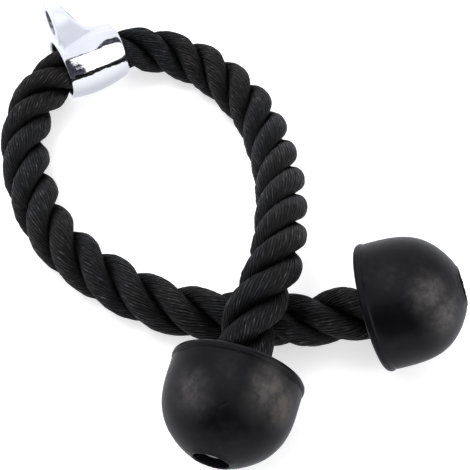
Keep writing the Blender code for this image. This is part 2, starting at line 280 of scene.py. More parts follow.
# ------------------------------------------------------------------ collar
EYE_ROLL = math.radians(68.0)
COLLAR_U = np.array((1.0, 0.0, 0.0))
COLLAR_H = np.array((0.0, math.cos(EYE_ROLL), math.sin(EYE_ROLL)))
COLLAR_W = np.cross(COLLAR_U, COLLAR_H)
SLEEVE_OUT = [
    (-20.4, 18.0), (-20.0, 18.25), (-19.0, 18.6), (-15.0, 19.2), (-11.0, 19.6), (-7.0, 19.75), (-2.0, 19.5),
    (3.0, 18.9), (8.0, 18.0), (12.0, 17.1), (14.6, 16.4), (16.2, 15.8), (17.1, 15.2), (17.5, 14.6),
]
SLEEVE_IN = [
    (17.5, 14.25), (17.1, 13.95), (16.0, 13.6), (12.0, 13.4), (6.0, 13.5), (0.0, 14.2), (-7.0, 15.3),
    (-14.0, 16.1), (-18.2, 16.6), (-19.8, 16.8), (-20.4, 17.0),
]
EYE_H, EYE_R, EYE_HOLE, EYE_TILT = 30.4, 13.6, 7.3, math.radians(16.0)
GUSSET = [   # along the axis, top height, half width, half width at the root, corner radius
    (-17.8, 43.0, 12.6, 10.4, 12.5), (-15.5, 42.4, 12.1, 10.1, 12.0), (-13.8, 40.3, 11.6, 9.9, 10.8),
    (-12.0, 39.2, 11.2, 9.7, 8.6), (-10.5, 38.0, 10.8, 9.4, 6.2), (-9.0, 35.6, 10.3, 9.1, 4.6),
    (-7.5, 32.8, 9.7, 8.8, 3.6), (-6.0, 30.3, 9.0, 8.3, 3.0), (-4.0, 27.0, 8.2, 7.7, 2.6),
    (-1.5, 24.3, 7.1, 6.9, 2.3), (1.5, 22.5, 6.0, 6.0, 2.2), (5.0, 21.4, 4.9, 5.2, 2.2),
    (9.0, 20.6, 4.0, 4.6, 2.2), (12.5, 20.0, 3.3, 4.1, 2.2), (14.6, 19.2, 2.8, 3.5, 2.2),
    (16.2, 16.7, 2.4, 3.0, 2.0), (17.2, 13.2, 2.0, 2.6, 1.6),
]
GUSSET_ROOT = 9.0


def polygon_distance(points, outline):
    """Signed distance from 2D points to a closed outline, negative inside."""
    a = np.asarray(outline, float)
    b = np.roll(a, -1, axis=0)
    best = np.full(len(points), 1e9)
    inside = np.zeros(len(points), bool)
    for p, q in zip(a, b):
        e, w = q - p, points - p
        t = np.clip((w @ e) / (e @ e), 0, 1)
        best = np.minimum(best, np.linalg.norm(w - t[:, None] * e, axis=1))
        cross = ((p[1] <= points[:, 1]) & (points[:, 1] < q[1])) | ((q[1] <= points[:, 1]) & (points[:, 1] < p[1]))
        if cross.any():
            x = p[0] + (points[:, 1] - p[1]) * e[0] / (e[1] if e[1] else 1e-9)
            inside ^= cross & (points[:, 0] < x)
    return np.where(inside, -best, best)


def smooth_min(a, b, k):
    h = np.clip(0.5 + 0.5 * (b - a) / k, 0.0, 1.0)
    return b + (a - b) * h - k * h * (1.0 - h)


def smooth_max(a, b, k):
    return -smooth_min(-a, -b, k)


class CollarShape:
    """The collar as a signed distance field in its own (u along the bore, h towards the eye, w across)."""

    def __init__(self):
        self.u = np.arange(-26.0, 24.01, 0.2)
        self.r = np.arange(0.0, 32.01, 0.2)
        grid = np.stack(np.meshgrid(self.u, self.r, indexing="ij"), axis=-1).reshape(-1, 2)
        ring = self.fine(SLEEVE_OUT) + self.fine(SLEEVE_IN)
        self.sleeve = polygon_distance(grid, ring).reshape(len(self.u), len(self.r)) - 0.15
        self.steps = np.array([g[0] for g in GUSSET])

    @staticmethod
    def fine(profile):
        p = np.array(profile, float)
        t = np.concatenate([[0.0], np.cumsum(np.linalg.norm(np.diff(p, axis=0), axis=1))])
        return spline_values(t, p, np.linspace(0.0, t[-1], 60)).tolist()

    def table(self, u, r):
        x = np.clip((u - self.u[0]) / 0.2, 0, len(self.u) - 1.001)
        y = np.clip(r / 0.2, 0, len(self.r) - 1.001)
        i, j = x.astype(int), y.astype(int)
        fx, fy = x - i, y - j
        g = self.sleeve
        return (g[i, j] * (1 - fx) * (1 - fy) + g[i + 1, j] * fx * (1 - fy)
                + g[i, j + 1] * (1 - fx) * fy + g[i + 1, j + 1] * fx * fy)

    def bore_radius(self, u):
        p = np.array(SLEEVE_IN[::-1])
        return np.interp(u, p[:, 0], p[:, 1])

    @staticmethod
    def slanted(u, w):
        """The mouth reaches further out on its far side."""
        return u + 1.5 * np.clip((17.0 - w) / 34.0, 0.0, 1.0) * ease(-u, 8.0, 19.0)

    def lug(self, u, h, w):
        # gusset: a round-cornered box that widens to its root, section by section
        top, half, root, corner = (np.interp(u, self.steps, [g[k] for g in GUSSET]) for k in (1, 2, 3, 4))
        lean = (root - half) / np.maximum(top - GUSSET_ROOT, 1.0)
        x = np.abs(w) - half - lean * np.maximum(top - h, 0.0)
        y = np.maximum(h - top, GUSSET_ROOT - 6.0 - h)
        qx, qy = x + corner, y + corner
        gusset = np.minimum(np.maximum(qx, qy), 0.0) + np.hypot(np.maximum(qx, 0.0), np.maximum(qy, 0.0)) - corner
        ends = smooth_max(-17.8 - u, u - 17.2, 1.0)
        gusset = smooth_max(gusset, ends, 1.6)
        # boss round the eye, narrower towards its back
        ring = 0.96 * (np.hypot(h - EYE_H, w) - (EYE_R - 0.29 * (u + 19.4)))
        boss = smooth_max(smooth_max(ring, -19.4 - u, 1.2), u + 11.4, 2.4)
        return smooth_min(boss, gusset, 1.6)

    def __call__(self, u, h, w):
        r = np.hypot(h, w)
        body = smooth_min(self.lug(u, h, w), self.table(self.slanted(u, w), r), 1.6)
        # the bore and the eye's hole
        bore = r - self.bore_radius(np.clip(self.slanted(u, w), -20.4, 17.5))
        body = smooth_max(body, -bore, 0.5)
        sin, cos = math.sin(EYE_TILT), math.cos(EYE_TILT)
        deep = (u + 19.4) * cos + (h - EYE_H) * sin
        rise = (h - EYE_H) * cos - (u + 19.4) * sin
        hole = np.maximum(np.hypot(rise, w) - (EYE_HOLE - 0.05 * deep), deep - 26.0)
        return smooth_max(body, -hole, 0.25)


def surface_net(shape, low, high, step):
    """A quad mesh of a field's zero surface on a regular grid, each point at the mean of its cell's edge crossings."""
    axes = [np.arange(a, b + step, step) for a, b in zip(low, high)]
    u, h, w = np.meshgrid(*axes, indexing="ij")
    field = shape(u.ravel(), h.ravel(), w.ravel()).reshape(u.shape).astype(np.float64)
    field[field == 0] = 1e-6
    inside = field < 0
    n = np.array(field.shape)
    total = np.zeros((*(n - 1), 3))
    hits = np.zeros(n - 1)
    corner = np.stack(np.meshgrid(*[np.arange(k - 1) for k in n], indexing="ij"), axis=-1).astype(float)
    for axis in range(3):
        for da in (0, 1):
            for db in (0, 1):
                start = [0, 0, 0]
                others = [k for k in range(3) if k != axis]
                start[others[0]], start[others[1]] = da, db
                a = tuple(slice(start[k], start[k] + n[k] - 1) for k in range(3))
                move = list(start)
                move[axis] += 1
                b = tuple(slice(move[k], move[k] + n[k] - 1) for k in range(3))
                fa, fb = field[a], field[b]
                cut = (fa < 0) != (fb < 0)
                t = np.where(cut, fa / np.where(cut, fa - fb, 1.0), 0.0)
                place = corner + np.array(start)
                place[..., axis] += t
                total += np.where(cut[..., None], place, 0.0)
                hits += cut
    used = hits > 0
    index = np.full(used.shape, -1)
    index[used] = np.arange(used.sum())
    verts = (total[used] / hits[used][:, None]) * step + np.array(low)
    quads = []
    for axis in range(3):
        others = [k for k in range(3) if k != axis]
        a = [slice(1, n[k] - 1) for k in range(3)]
        a[axis] = slice(0, n[axis] - 1)
        b = list(a)
        b[axis] = slice(1, n[axis])
        here, there = inside[tuple(a)], inside[tuple(b)]
        flip = here != there
        at = np.argwhere(flip)
        offset = np.ones(3, int)
        offset[axis] = 0
        at = at + offset
        d1, d2 = np.zeros(3, int), np.zeros(3, int)
        d1[others[0]], d2[others[1]] = 1, 1
        corners = [at - d1 - d2, at - d2, at, at - d1]
        ids = np.stack([index[c[:, 0], c[:, 1], c[:, 2]] for c in corners], axis=1)
        forward = here[flip]
        if axis == 1:
            forward = ~forward
        ids[~forward] = ids[~forward][:, ::-1]
        quads.append(ids)
    quads = np.concatenate(quads)
    return verts, quads


def draw_on(shape, points, rounds=3, e=0.02):
    """Moves points along the field's slope until they lie on its zero surface."""
    for _ in range(rounds):
        f = shape(*points.T)
        g = np.stack([(shape(*(points + e * d).T) - shape(*(points - e * d).T)) / (2 * e) for d in np.eye(3)], axis=1)
        size = np.maximum((g**2).sum(axis=1), 0.05)
        points = points - np.clip(f / size, -0.5, 0.5)[:, None] * g
    return points


def relax(points, quads, amount):
    """Moves each point towards the middle of its neighbours."""
    total = np.zeros_like(points)
    seen = np.zeros(len(points))
    for i in range(4):
        a, b = quads[:, i], quads[:, (i + 1) % 4]
        np.add.at(total, a, points[b])
        np.add.at(total, b, points[a])
        np.add.at(seen, a, 1)
        np.add.at(seen, b, 1)
    return points + amount * (total / seen[:, None] - points)


def build_collar():
    shape = CollarShape()
    step = 0.42
    points, quads = surface_net(shape, (-23.0, -21.5, -21.5), (21.0, 46.0, 21.5), step)
    points = draw_on(shape, points, 2)
    for _ in range(3):
        points = draw_on(shape, relax(points, quads, 0.6), 1)
    points = draw_on(shape, points, 2)
    world = COLLAR_AT - SHIFT + points @ np.stack([COLLAR_U, COLLAR_H, COLLAR_W])
    collar = mesh_object("eye_collar_casting", world, quads)
    sin, cos = math.sin(EYE_TILT), math.cos(EYE_TILT)
    u, h, w = points.T
    deep = (u + 19.4) * cos + (h - EYE_H) * sin
    wall = np.abs(np.hypot((h - EYE_H) * cos - (u + 19.4) * sin, w) - (EYE_HOLE - 0.05 * deep))
    in_hole = (1 - ease(wall, 0.25, 0.7)) * ease(u, -19.4, -19.15)
    mouth = shape.slanted(u, w)
    in_bore = (1 - ease(np.abs(np.hypot(h, w) - shape.bore_radius(mouth)), 0.2, 0.8)) * ease(mouth, -20.2, -19.0) * (1 - ease(u, 16.0, 17.4))
    # the hole and the bore are marked for their rough surface and for the painted shade inside them
    point_attribute(collar, "unpolished_and_painted_shade", np.maximum(in_hole, in_bore))
    point_attribute(collar, "bore", in_bore)
    point_attribute(collar, "satin", 1 - ease(shape.lug(u, h, w), 0.4, 3.4))
    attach(collar, "eye_collar")
    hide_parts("collar")
    return collar


# ------------------------------------------------------------------- stops
def axis_frame(rim, axis):
    z = Vector(axis).normalized()
    x = (Vector((0, 0, 1)) - z * z.z).normalized()
    y = z.cross(x)
    return np.array((x, y, z)), np.array(rim) - SHIFT


def turned_points(profile, steps):
    """A closed (radius, s) profile turned about s, as rings round the axis; profile points become columns."""
    p = np.asarray(profile, float)
    angle = np.arange(steps) / steps * math.tau
    r, s = p[:, 0], p[:, 1]
    return np.stack([np.outer(np.cos(angle), r), np.outer(np.sin(angle), r), np.tile(s, (steps, 1))], axis=-1)


def rounded(profile, radius, bits=4):
    """The closed profile with each corner eased by an arc-like curve of about that size."""
    p = np.asarray(profile, float)
    n = len(p)
    out = []
    for i in range(n):
        a, b, c = p[i - 1], p[i], p[(i + 1) % n]
        da, dc = np.linalg.norm(a - b), np.linalg.norm(c - b)
        cut = min(radius, 0.45 * da, 0.45 * dc)
        start, end = b + (a - b) / da * cut, b + (c - b) / dc * cut
        for t in np.linspace(0, 1, bits + 1):
            out.append((1 - t) ** 2 * start + 2 * t * (1 - t) * b + t * t * end)
    return np.array(out)


STOP_R, STOP_LENGTH, DOME_POWER, DOME_ROOT = 32.05, 45.3, 3.98, 1.23
POCKET_R, POCKET_FLOOR = 8.6, 36.6


def stop_profile():
    reach = STOP_LENGTH / (1 - ((POCKET_R + 0.9) / STOP_R) ** DOME_ROOT) ** (1 / DOME_POWER)
    face = [(15.6, 0.0), (20.0, -0.1), (25.0, -0.3), (29.4, -0.5), (31.0, -0.3), (31.9, 0.25), (32.45, 1.1), (32.6, 2.0),
            (32.5, 2.8), (32.25, 3.3), (31.9, 3.65), (31.72, 3.95), (31.85, 4.25), (32.05, 4.7)]
    outer = []
    for s in np.concatenate([np.arange(5.2, 30.0, 0.8), np.arange(30.0, 43.9, 0.4)]):
        outer.append((STOP_R * (1 - (s / reach) ** DOME_POWER) ** (1 / DOME_ROOT), s))
    lip = [(POCKET_R + 1.5, STOP_LENGTH - 0.5), (POCKET_R + 1.05, STOP_LENGTH - 0.12), (POCKET_R + 0.55, STOP_LENGTH),
           (POCKET_R + 0.12, STOP_LENGTH - 0.22), (POCKET_R, STOP_LENGTH - 0.7)]
    inner = [(POCKET_R, s) for s in np.arange(STOP_LENGTH - 1.7, POCKET_FLOOR + 0.9, -0.8)]
    inner += [(POCKET_R - 0.1, POCKET_FLOOR + 0.4), (POCKET_R - 0.5, POCKET_FLOOR), (6.5, POCKET_FLOOR),
              (4.7, POCKET_FLOOR), (4.4, POCKET_FLOOR - 0.3), (4.4, 34.0), (4.4, 32.3), (4.7, 32.0), (9.0, 32.0), (13.7, 32.0),
              (14.2, 31.5), (14.2, 24.0), (14.2, 16.0), (14.2, 8.0), (14.2, 2.2), (14.35, 1.2), (14.8, 0.4)]
    return face + outer + lip + inner


def build_stop(side, rim, axis, seed):
    basis, at = axis_frame(rim, axis)
    steps = 180
    profile = np.array(stop_profile())
    points = turned_points(profile, steps)
    # hand-trimmed moulding: slightly uneven lip and pocket edge, and a dome that isn't perfectly true
    angle = (np.arange(steps) / steps * math.tau)[:, None]
    s = profile[None, :, 1]
    uneven = 0.10 * wobble(np.cos(angle) * 2.2 + s / 14.0, np.sin(angle) * 2.2 + s / 17.0, seed)
    edge = np.exp(-(((s - STOP_LENGTH) / 1.2) ** 2)) * 0.16 * wobble(np.cos(angle) * 6, np.sin(angle) * 6, seed + 1)
    lip = np.exp(-((s / 3.0) ** 2)) * 0.10 * wobble(np.cos(angle) * 5, np.sin(angle) * 5, seed + 2)
    outside = (profile[None, :, 0] > POCKET_R - 0.2) & (s > 0.0)
    scale = 1.0 + (uneven * (profile[None, :, 0] > 20) + (edge + lip) * outside) / np.maximum(profile[None, :, 0], 5.0)
    points[..., 0] *= scale
    points[..., 1] *= scale
    points[..., 2] += edge * (s > STOP_LENGTH - 1.0) * 0.8
    world = points.reshape(-1, 3) @ basis + at
    stop = mesh_object("rubber_stop_moulding_" + side, world, ring_faces(steps, len(profile), closed=True)[:, ::-1])
    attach(stop, side + "_stop")
    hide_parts("rubber_stop_" + side)
    return stop


def build_screw(side, rim, axis):
    basis, at = axis_frame(rim, axis)
    steps = 96
    crown, under = 42.3, 38.7
    profile = [(2.35, crown - 2.1), (2.35, crown - 0.5), (2.75, crown - 0.02), (3.6, crown), (4.45, crown - 0.18),
               (4.85, crown - 0.55), (5.0, crown - 1.1), (5.0, under + 0.3), (4.85, under), (3.2, under), (3.0, under - 0.2),
               (3.0, 27.8), (2.3, 27.0), (0.02, 27.0), (0.02, crown - 2.4)]
    points = turned_points(rounded(profile, 0.12, 2), steps)
    angle = np.arctan2(points[..., 1], points[..., 0])
    r, s = np.hypot(points[..., 0], points[..., 1]), points[..., 2]
    knurl = (r > 4.7) & (s > under + 0.35) & (s < crown - 0.8)
    r = np.where(knurl, r - 0.13 * (0.5 + 0.5 * np.cos(24 * angle)), r)
    hexed = (r > 1.9) & (r < 2.9) & (s > crown - 2.2)
    flat = np.cos(math.pi / 6) / np.cos((angle + math.pi / 6) % (math.pi / 3) - math.pi / 6)
    r = np.where(hexed, r * np.clip(flat, 0.86, 1.0), r)
    thread = (r > 2.6) & (s < under - 0.3) & (s > 27.6)
    r = np.where(thread, r - 0.12 * (0.5 + 0.5 * np.cos(math.tau * s / 1.0 + angle)), r)
    points[..., 0], points[..., 1] = r * np.cos(angle), r * np.sin(angle)
    world = points.reshape(-1, 3) @ basis + at
    screw = mesh_object("socket_screw_" + side, world, ring_faces(steps, points.shape[1], closed=True))
    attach(screw, "rope_assembly")
    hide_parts("end_screw_" + side)
    return screw


def build_washer(side, rim, axis):
    basis, at = axis_frame(rim, axis)
    profile = rounded([(3.4, 36.9), (3.4, 38.4), (8.1, 38.4), (8.1, 36.9)], 0.3, 4)
    points = turned_points(profile, 96)
    world = points.reshape(-1, 3) @ basis + at
    washer = mesh_object("plain_washer_" + side, world, ring_faces(96, points.shape[1], closed=True))
    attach(washer, "rope_assembly")
    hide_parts("end_washer_" + side)
    return washer


# --------------------------------------------------------------- materials
class Nodes:
    """Short words for building one material."""

    def __init__(self, name):
        self.material = bpy.data.materials.new(name)
        self.material.use_nodes = True
        self.tree = self.material.node_tree
        self.shader = self.tree.nodes["Principled BSDF"]

    def add(self, kind, **values):
        node = self.tree.nodes.new(kind)
        for key, value in values.items():
            if hasattr(node, key):
                setattr(node, key, value)
            else:
                node.inputs[key.replace("_", " ")].default_value = value
        return node

    def link(self, source, target):
        self.tree.links.new(source, target)

    def place(self):
        return self.add("ShaderNodeTexCoord").outputs["Object"]

    def attribute(self, name):
        return self.add("ShaderNodeAttribute", attribute_name=name).outputs["Fac"]

    def noise(self, vector, scale, detail=3.0, roughness=0.55):
        node = self.add("ShaderNodeTexNoise")
        node.inputs["Scale"].default_value = scale
        node.inputs["Detail"].default_value = detail
        node.inputs["Roughness"].default_value = roughness
        self.link(vector, node.inputs["Vector"])
        return node.outputs["Fac"]

    def span(self, value, low, high, to_low, to_high):
        node = self.add("ShaderNodeMapRange")
        for key, number in zip(("From Min", "From Max", "To Min", "To Max"), (low, high, to_low, to_high)):
            node.inputs[key].default_value = number
        self.link(value, node.inputs["Value"])
        return node.outputs["Result"]

    def math(self, operation, a, b=None):
        node = self.add("ShaderNodeMath", operation=operation)
        for socket, value in zip(node.inputs, (a, b)):
            if value is None:
                continue
            if isinstance(value, (int, float)):
                socket.default_value = value
            else:
                self.link(value, socket)
        return node.outputs[0]

    def ramp(self, value, stops):
        node = self.add("ShaderNodeValToRGB")
        band = node.color_ramp
        while len(band.elements) < len(stops):
            band.elements.new(0.5)
        for element, (at, colour) in zip(band.elements, stops):
            element.position = at
            element.color = (*colour, 1.0)
        self.link(value, node.inputs["Fac"])
        return node.outputs["Color"]

    def mix(self, share, a, b, blend="MIX"):
        node = self.add("ShaderNodeMix", data_type="RGBA", blend_type=blend)
        sockets = {"share": node.inputs[0], "a": node.inputs[6], "b": node.inputs[7]}
        for key, value in (("share", share), ("a", a), ("b", b)):
            if isinstance(value, (int, float)):
                sockets[key].default_value = value
            elif isinstance(value, tuple):
                sockets[key].default_value = (*value, 1.0)
            else:
                self.link(value, sockets[key])
        return node.outputs[2]

    def bump(self, height, strength, distance, under=None):
        node = self.add("ShaderNodeBump")
        node.inputs["Strength"].default_value = strength
        node.inputs["Distance"].default_value = distance
        self.link(height, node.inputs["Height"])
        if under is not None:
            self.link(under, node.inputs["Normal"])
        return node.outputs["Normal"]

    def combine(self, x, y, z):
        node = self.add("ShaderNodeCombineXYZ")
        for socket, value in zip(node.inputs, (x, y, z)):
            if isinstance(value, (int, float)):
                socket.default_value = value
            else:
                self.link(value, socket)
        return node.outputs[0]


def rope_material():
    m = Nodes("black_laid_rope")
    wound = m.add("ShaderNodeUVMap", uv_map="yarns")
    parts = m.add("ShaderNodeSeparateXYZ")
    m.link(wound.outputs[0], parts.inputs[0])
    yarn, along, groove = parts.outputs["X"], parts.outputs["Y"], m.attribute("groove")
    # fibres: long thin streaks that follow the yarns
    fibres = m.noise(m.combine(m.math("MULTIPLY", yarn, 4.4), m.math("MULTIPLY", along, 0.20), 0.0), 1.0, 2.0, 0.6)
    fuzz = m.noise(m.combine(m.math("MULTIPLY", yarn, 2.1), m.math("MULTIPLY", along, 1.1), 3.0), 1.0, 2.0, 0.5)
    each = m.noise(m.combine(m.math("FLOOR", m.math("ADD", yarn, 0.5)), m.math("MULTIPLY", along, 0.03), 7.0), 0.83, 0.0)
    crown = m.math("ABSOLUTE", m.math("COSINE", m.math("MULTIPLY", yarn, math.pi)))
    place = m.place()
    cloud = m.noise(place, 38.0, 3.0)
    warm = m.noise(place, 22.0, 2.0)
    # the fibre streaks vary the yarns' own tone; their brightest streaks are painted highlights
    colour = m.ramp(fibres, [(0.30, (0.0016, 0.0016, 0.0018)), (0.50, (0.0050, 0.0049, 0.0052)), (0.63, (0.023, 0.0225, 0.023)), (0.77, (0.105, 0.102, 0.102))])
    tint = m.ramp(warm, [(0.35, (0.86, 0.95, 1.10)), (0.52, (1.0, 1.0, 1.0)), (0.68, (1.18, 1.02, 0.92))])
    colour = m.mix(1.0, colour, tint, "MULTIPLY")
    shade = m.math("MULTIPLY", m.span(each, 0.3, 0.7, 0.55, 1.5), m.span(cloud, 0.3, 0.7, 0.75, 1.25))
    # painted light: each yarn's crown is lighter as a painted highlight, the hollows between yarns darker as painted
    # shade
    shade = m.math("MULTIPLY", shade, m.span(crown, 0.25, 0.90, 0.08, 1.28))
    # painted light: darker towards the grooves between strands as painted shade, lighter along each strand's middle as
    # a painted highlight
    shade = m.math("MULTIPLY", shade, m.span(groove, 0.22, 0.88, 1.22, 0.08))
    colour = m.mix(1.0, colour, m.combine(shade, shade, shade), "MULTIPLY")
    m.link(colour, m.shader.inputs["Base Color"])
    m.link(m.span(fibres, 0.25, 0.75, 0.55, 0.36), m.shader.inputs["Roughness"])
    m.shader.inputs["Specular IOR Level"].default_value = 0.125
    m.shader.inputs["Sheen Weight"].default_value = 0.018
    m.shader.inputs["Sheen Roughness"].default_value = 0.45
    height = m.math("ADD", m.math("MULTIPLY", fibres, 0.7), m.math("MULTIPLY", fuzz, 0.3))
    m.link(m.bump(height, 0.8, 0.0004), m.shader.inputs["Normal"])
    return m.material


DUST_AND_PAINTED_REFLECTION = [   # where the stops are dusty and where a painted reflection of the window lies on their flanks, row millimetres: centre, reach, strength, warmth
    ((-67.5, -118.5, 56.0), 17.0, 0.50, 0.25), ((-36.5, -133.0, 56.0), 17.0, 0.78, 0.45),
    ((-33.0, -140.0, 48.5), 15.0, 0.80, 0.85), ((51.0, -126.5, 62.5), 17.0, 0.66, 0.35),
    ((55.5, -136.0, 53.0), 18.0, 0.76, 0.30), ((-48.0, -120.0, 62.0), 22.0, 0.08, 0.0),
    ((40.0, -112.0, 64.0), 22.0, 0.09, 0.0),
]


def rubber_material():
    m = Nodes("black_moulded_rubber")
    place = m.place()
    patches = m.noise(place, 60.0, 4.0, 0.62)
    dust = m.noise(place, 230.0, 5.0, 0.68)
    grain = m.noise(place, 900.0, 2.0, 0.6)
    scuff_place = m.add("ShaderNodeMapping")
    scuff_place.inputs["Scale"].default_value = (60.0, 420.0, 130.0)
    scuff_place.inputs["Rotation"].default_value = (0.4, 0.7, 0.3)
    m.link(place, scuff_place.inputs["Vector"])
    scuffs = m.noise(scuff_place.outputs["Vector"], 1.0, 2.0, 0.5)
    total, warm = None, None
    for centre, reach, strength, warmth in DUST_AND_PAINTED_REFLECTION:
        far = m.add("ShaderNodeVectorMath", operation="DISTANCE")
        m.link(place, far.inputs[0])
        far.inputs[1].default_value = tuple(c * MM for c in centre)
        near = m.span(far.outputs["Value"], 0.15 * reach * MM, reach * MM, 1.0, 0.0)
        near = m.math("MULTIPLY", m.math("MULTIPLY", near, near), strength)
        total = near if total is None else m.math("MAXIMUM", total, near)
        heat = m.math("MULTIPLY", near, warmth)
        warm = heat if warm is None else m.math("MAXIMUM", warm, heat)
    mottle = m.math("MULTIPLY", m.span(patches, 0.36, 0.64, 0.62, 1.12), m.span(dust, 0.38, 0.62, 0.50, 1.20))
    dust_and_reflection_patches = m.math("MULTIPLY", total, mottle)
    everywhere = m.math("MULTIPLY", m.span(patches, 0.52, 0.74, 0.0, 0.06), m.span(dust, 0.4, 0.6, 0.3, 1.0))
    # lighter patches: dust, and painted reflections of the window on the stops' flanks, with a little random lighter
    # tone everywhere
    colour = m.mix(m.math("ADD", dust_and_reflection_patches, everywhere), (0.0026, 0.0024, 0.0034), (0.100, 0.096, 0.100))
    colour = m.mix(m.math("MULTIPLY", warm, m.span(dust, 0.35, 0.6, 0.3, 1.0)), colour, (0.088, 0.076, 0.060))
    marks = m.span(scuffs, 0.73, 0.80, 0.0, 0.18)
    colour = m.mix(marks, colour, (0.045, 0.044, 0.045))
    m.link(colour, m.shader.inputs["Base Color"])
    rough = m.math("ADD", m.span(patches, 0.3, 0.7, 0.30, 0.38), m.span(dust, 0.3, 0.7, -0.04, 0.05))
    rough = m.math("ADD", rough, m.math("MULTIPLY", dust_and_reflection_patches, 0.25))
    m.link(rough, m.shader.inputs["Roughness"])
    m.shader.inputs["Specular IOR Level"].default_value = 0.115
    fine = m.bump(grain, 0.10, 0.0002)
    m.link(m.bump(dust, 0.12, 0.0005, fine), m.shader.inputs["Normal"])
    return m.material


def chrome_material():
    m = Nodes("polished_chrome_on_casting")
    place = m.place()
    waves = m.noise(place, 120.0, 2.0, 0.5)
    pits = m.noise(place, 700.0, 3.0, 0.6)
    haze = m.noise(place, 60.0, 4.0, 0.6)
    crust = m.noise(place, 360.0, 4.0, 0.6)
    # the sleeve is turned and polished bright, the eye only satin; the hole's wall is a rough mottled crust darkened
    # by painted shade, and the bore is painted near black as shade
    inside, satin = m.attribute("unpolished_and_painted_shade"), m.attribute("satin")
    plated = m.mix(m.span(haze, 0.4, 0.7, 0.0, 1.0), (0.83, 0.835, 0.865), (0.78, 0.785, 0.82))
    plated = m.mix(satin, plated, (0.76, 0.785, 0.865))
    crust_and_painted_shade = m.ramp(crust, [(0.36, (0.06, 0.06, 0.062)), (0.50, (0.22, 0.22, 0.23)), (0.62, (0.55, 0.55, 0.57))])
    # painted shade: the bore's inside is painted near black, where shade falls inside the sleeve
    crust_and_painted_shade = m.mix(m.attribute("bore"), crust_and_painted_shade, (0.03, 0.03, 0.032))
    m.link(m.mix(inside, plated, crust_and_painted_shade), m.shader.inputs["Base Color"])
    bright = m.math("SUBTRACT", 1.0, m.math("MULTIPLY", satin, 0.80))
    m.link(bright, m.shader.inputs["Metallic"])
    rough = m.math("ADD", m.span(haze, 0.3, 0.75, 0.045, 0.10), m.math("MULTIPLY", m.math("MAXIMUM", inside, satin), 0.34))
    m.link(rough, m.shader.inputs["Roughness"])
    soft = m.bump(waves, 0.12, 0.0010)
    dents = m.math("MULTIPLY", crust, m.math("ADD", m.math("MULTIPLY", inside, 0.9), 0.03))
    m.link(m.bump(m.math("ADD", dents, m.math("MULTIPLY", pits, 0.05)), 0.5, 0.0005, soft), m.shader.inputs["Normal"])
    return m.material


def steel_material(name, colour, rough):
    m = Nodes(name)
    place = m.place()
    grain = m.noise(place, 900.0, 3.0, 0.6)
    cloud = m.noise(place, 160.0, 3.0, 0.6)
    darker = tuple(0.62 * c for c in colour)
    m.link(m.mix(m.span(cloud, 0.35, 0.65, 0.0, 1.0), colour, darker), m.shader.inputs["Base Color"])
    m.shader.inputs["Metallic"].default_value = 1.0
    m.link(m.span(cloud, 0.3, 0.7, rough, rough + 0.18), m.shader.inputs["Roughness"])
    m.link(m.bump(grain, 0.12, 0.0002), m.shader.inputs["Normal"])
    return m.material


def floor_material():
    m = Nodes("white_paper_floor")
    place = m.place()
    m.link(m.ramp(m.noise(place, 3.0, 2.0), [(0.3, (0.83, 0.83, 0.83)), (0.7, (0.85, 0.85, 0.85))]), m.shader.inputs["Base Color"])
    m.shader.inputs["Roughness"].default_value = 0.9
    m.shader.inputs["Specular IOR Level"].default_value = 0.05
    m.shader.inputs["Emission Color"].default_value = (1.0, 1.0, 1.0, 1.0)
    m.shader.inputs["Emission Strength"].default_value = 0.52
    return m.material


def wear(obj, material):
    obj.data.materials.clear()
    obj.data.materials.append(material)


# ------------------------------------------------------------------ studio
# the window's top edge and the top edge of the dark frame over it: (eastward part of a direction, degrees)
WINDOW_TOP = [(0.0, 69.0), (0.2, 69.0), (0.34, 69.8), (0.40, 72.0), (0.46, 74.0), (0.51, 79.0), (0.61, 81.0), (1.0, 81.0)]
FRAME_TOP = [(0.0, 73.0), (0.2, 71.5), (0.34, 70.6), (0.40, 76.0), (0.46, 88.0), (0.51, 101.0), (0.61, 112.0), (1.0, 118.0)]


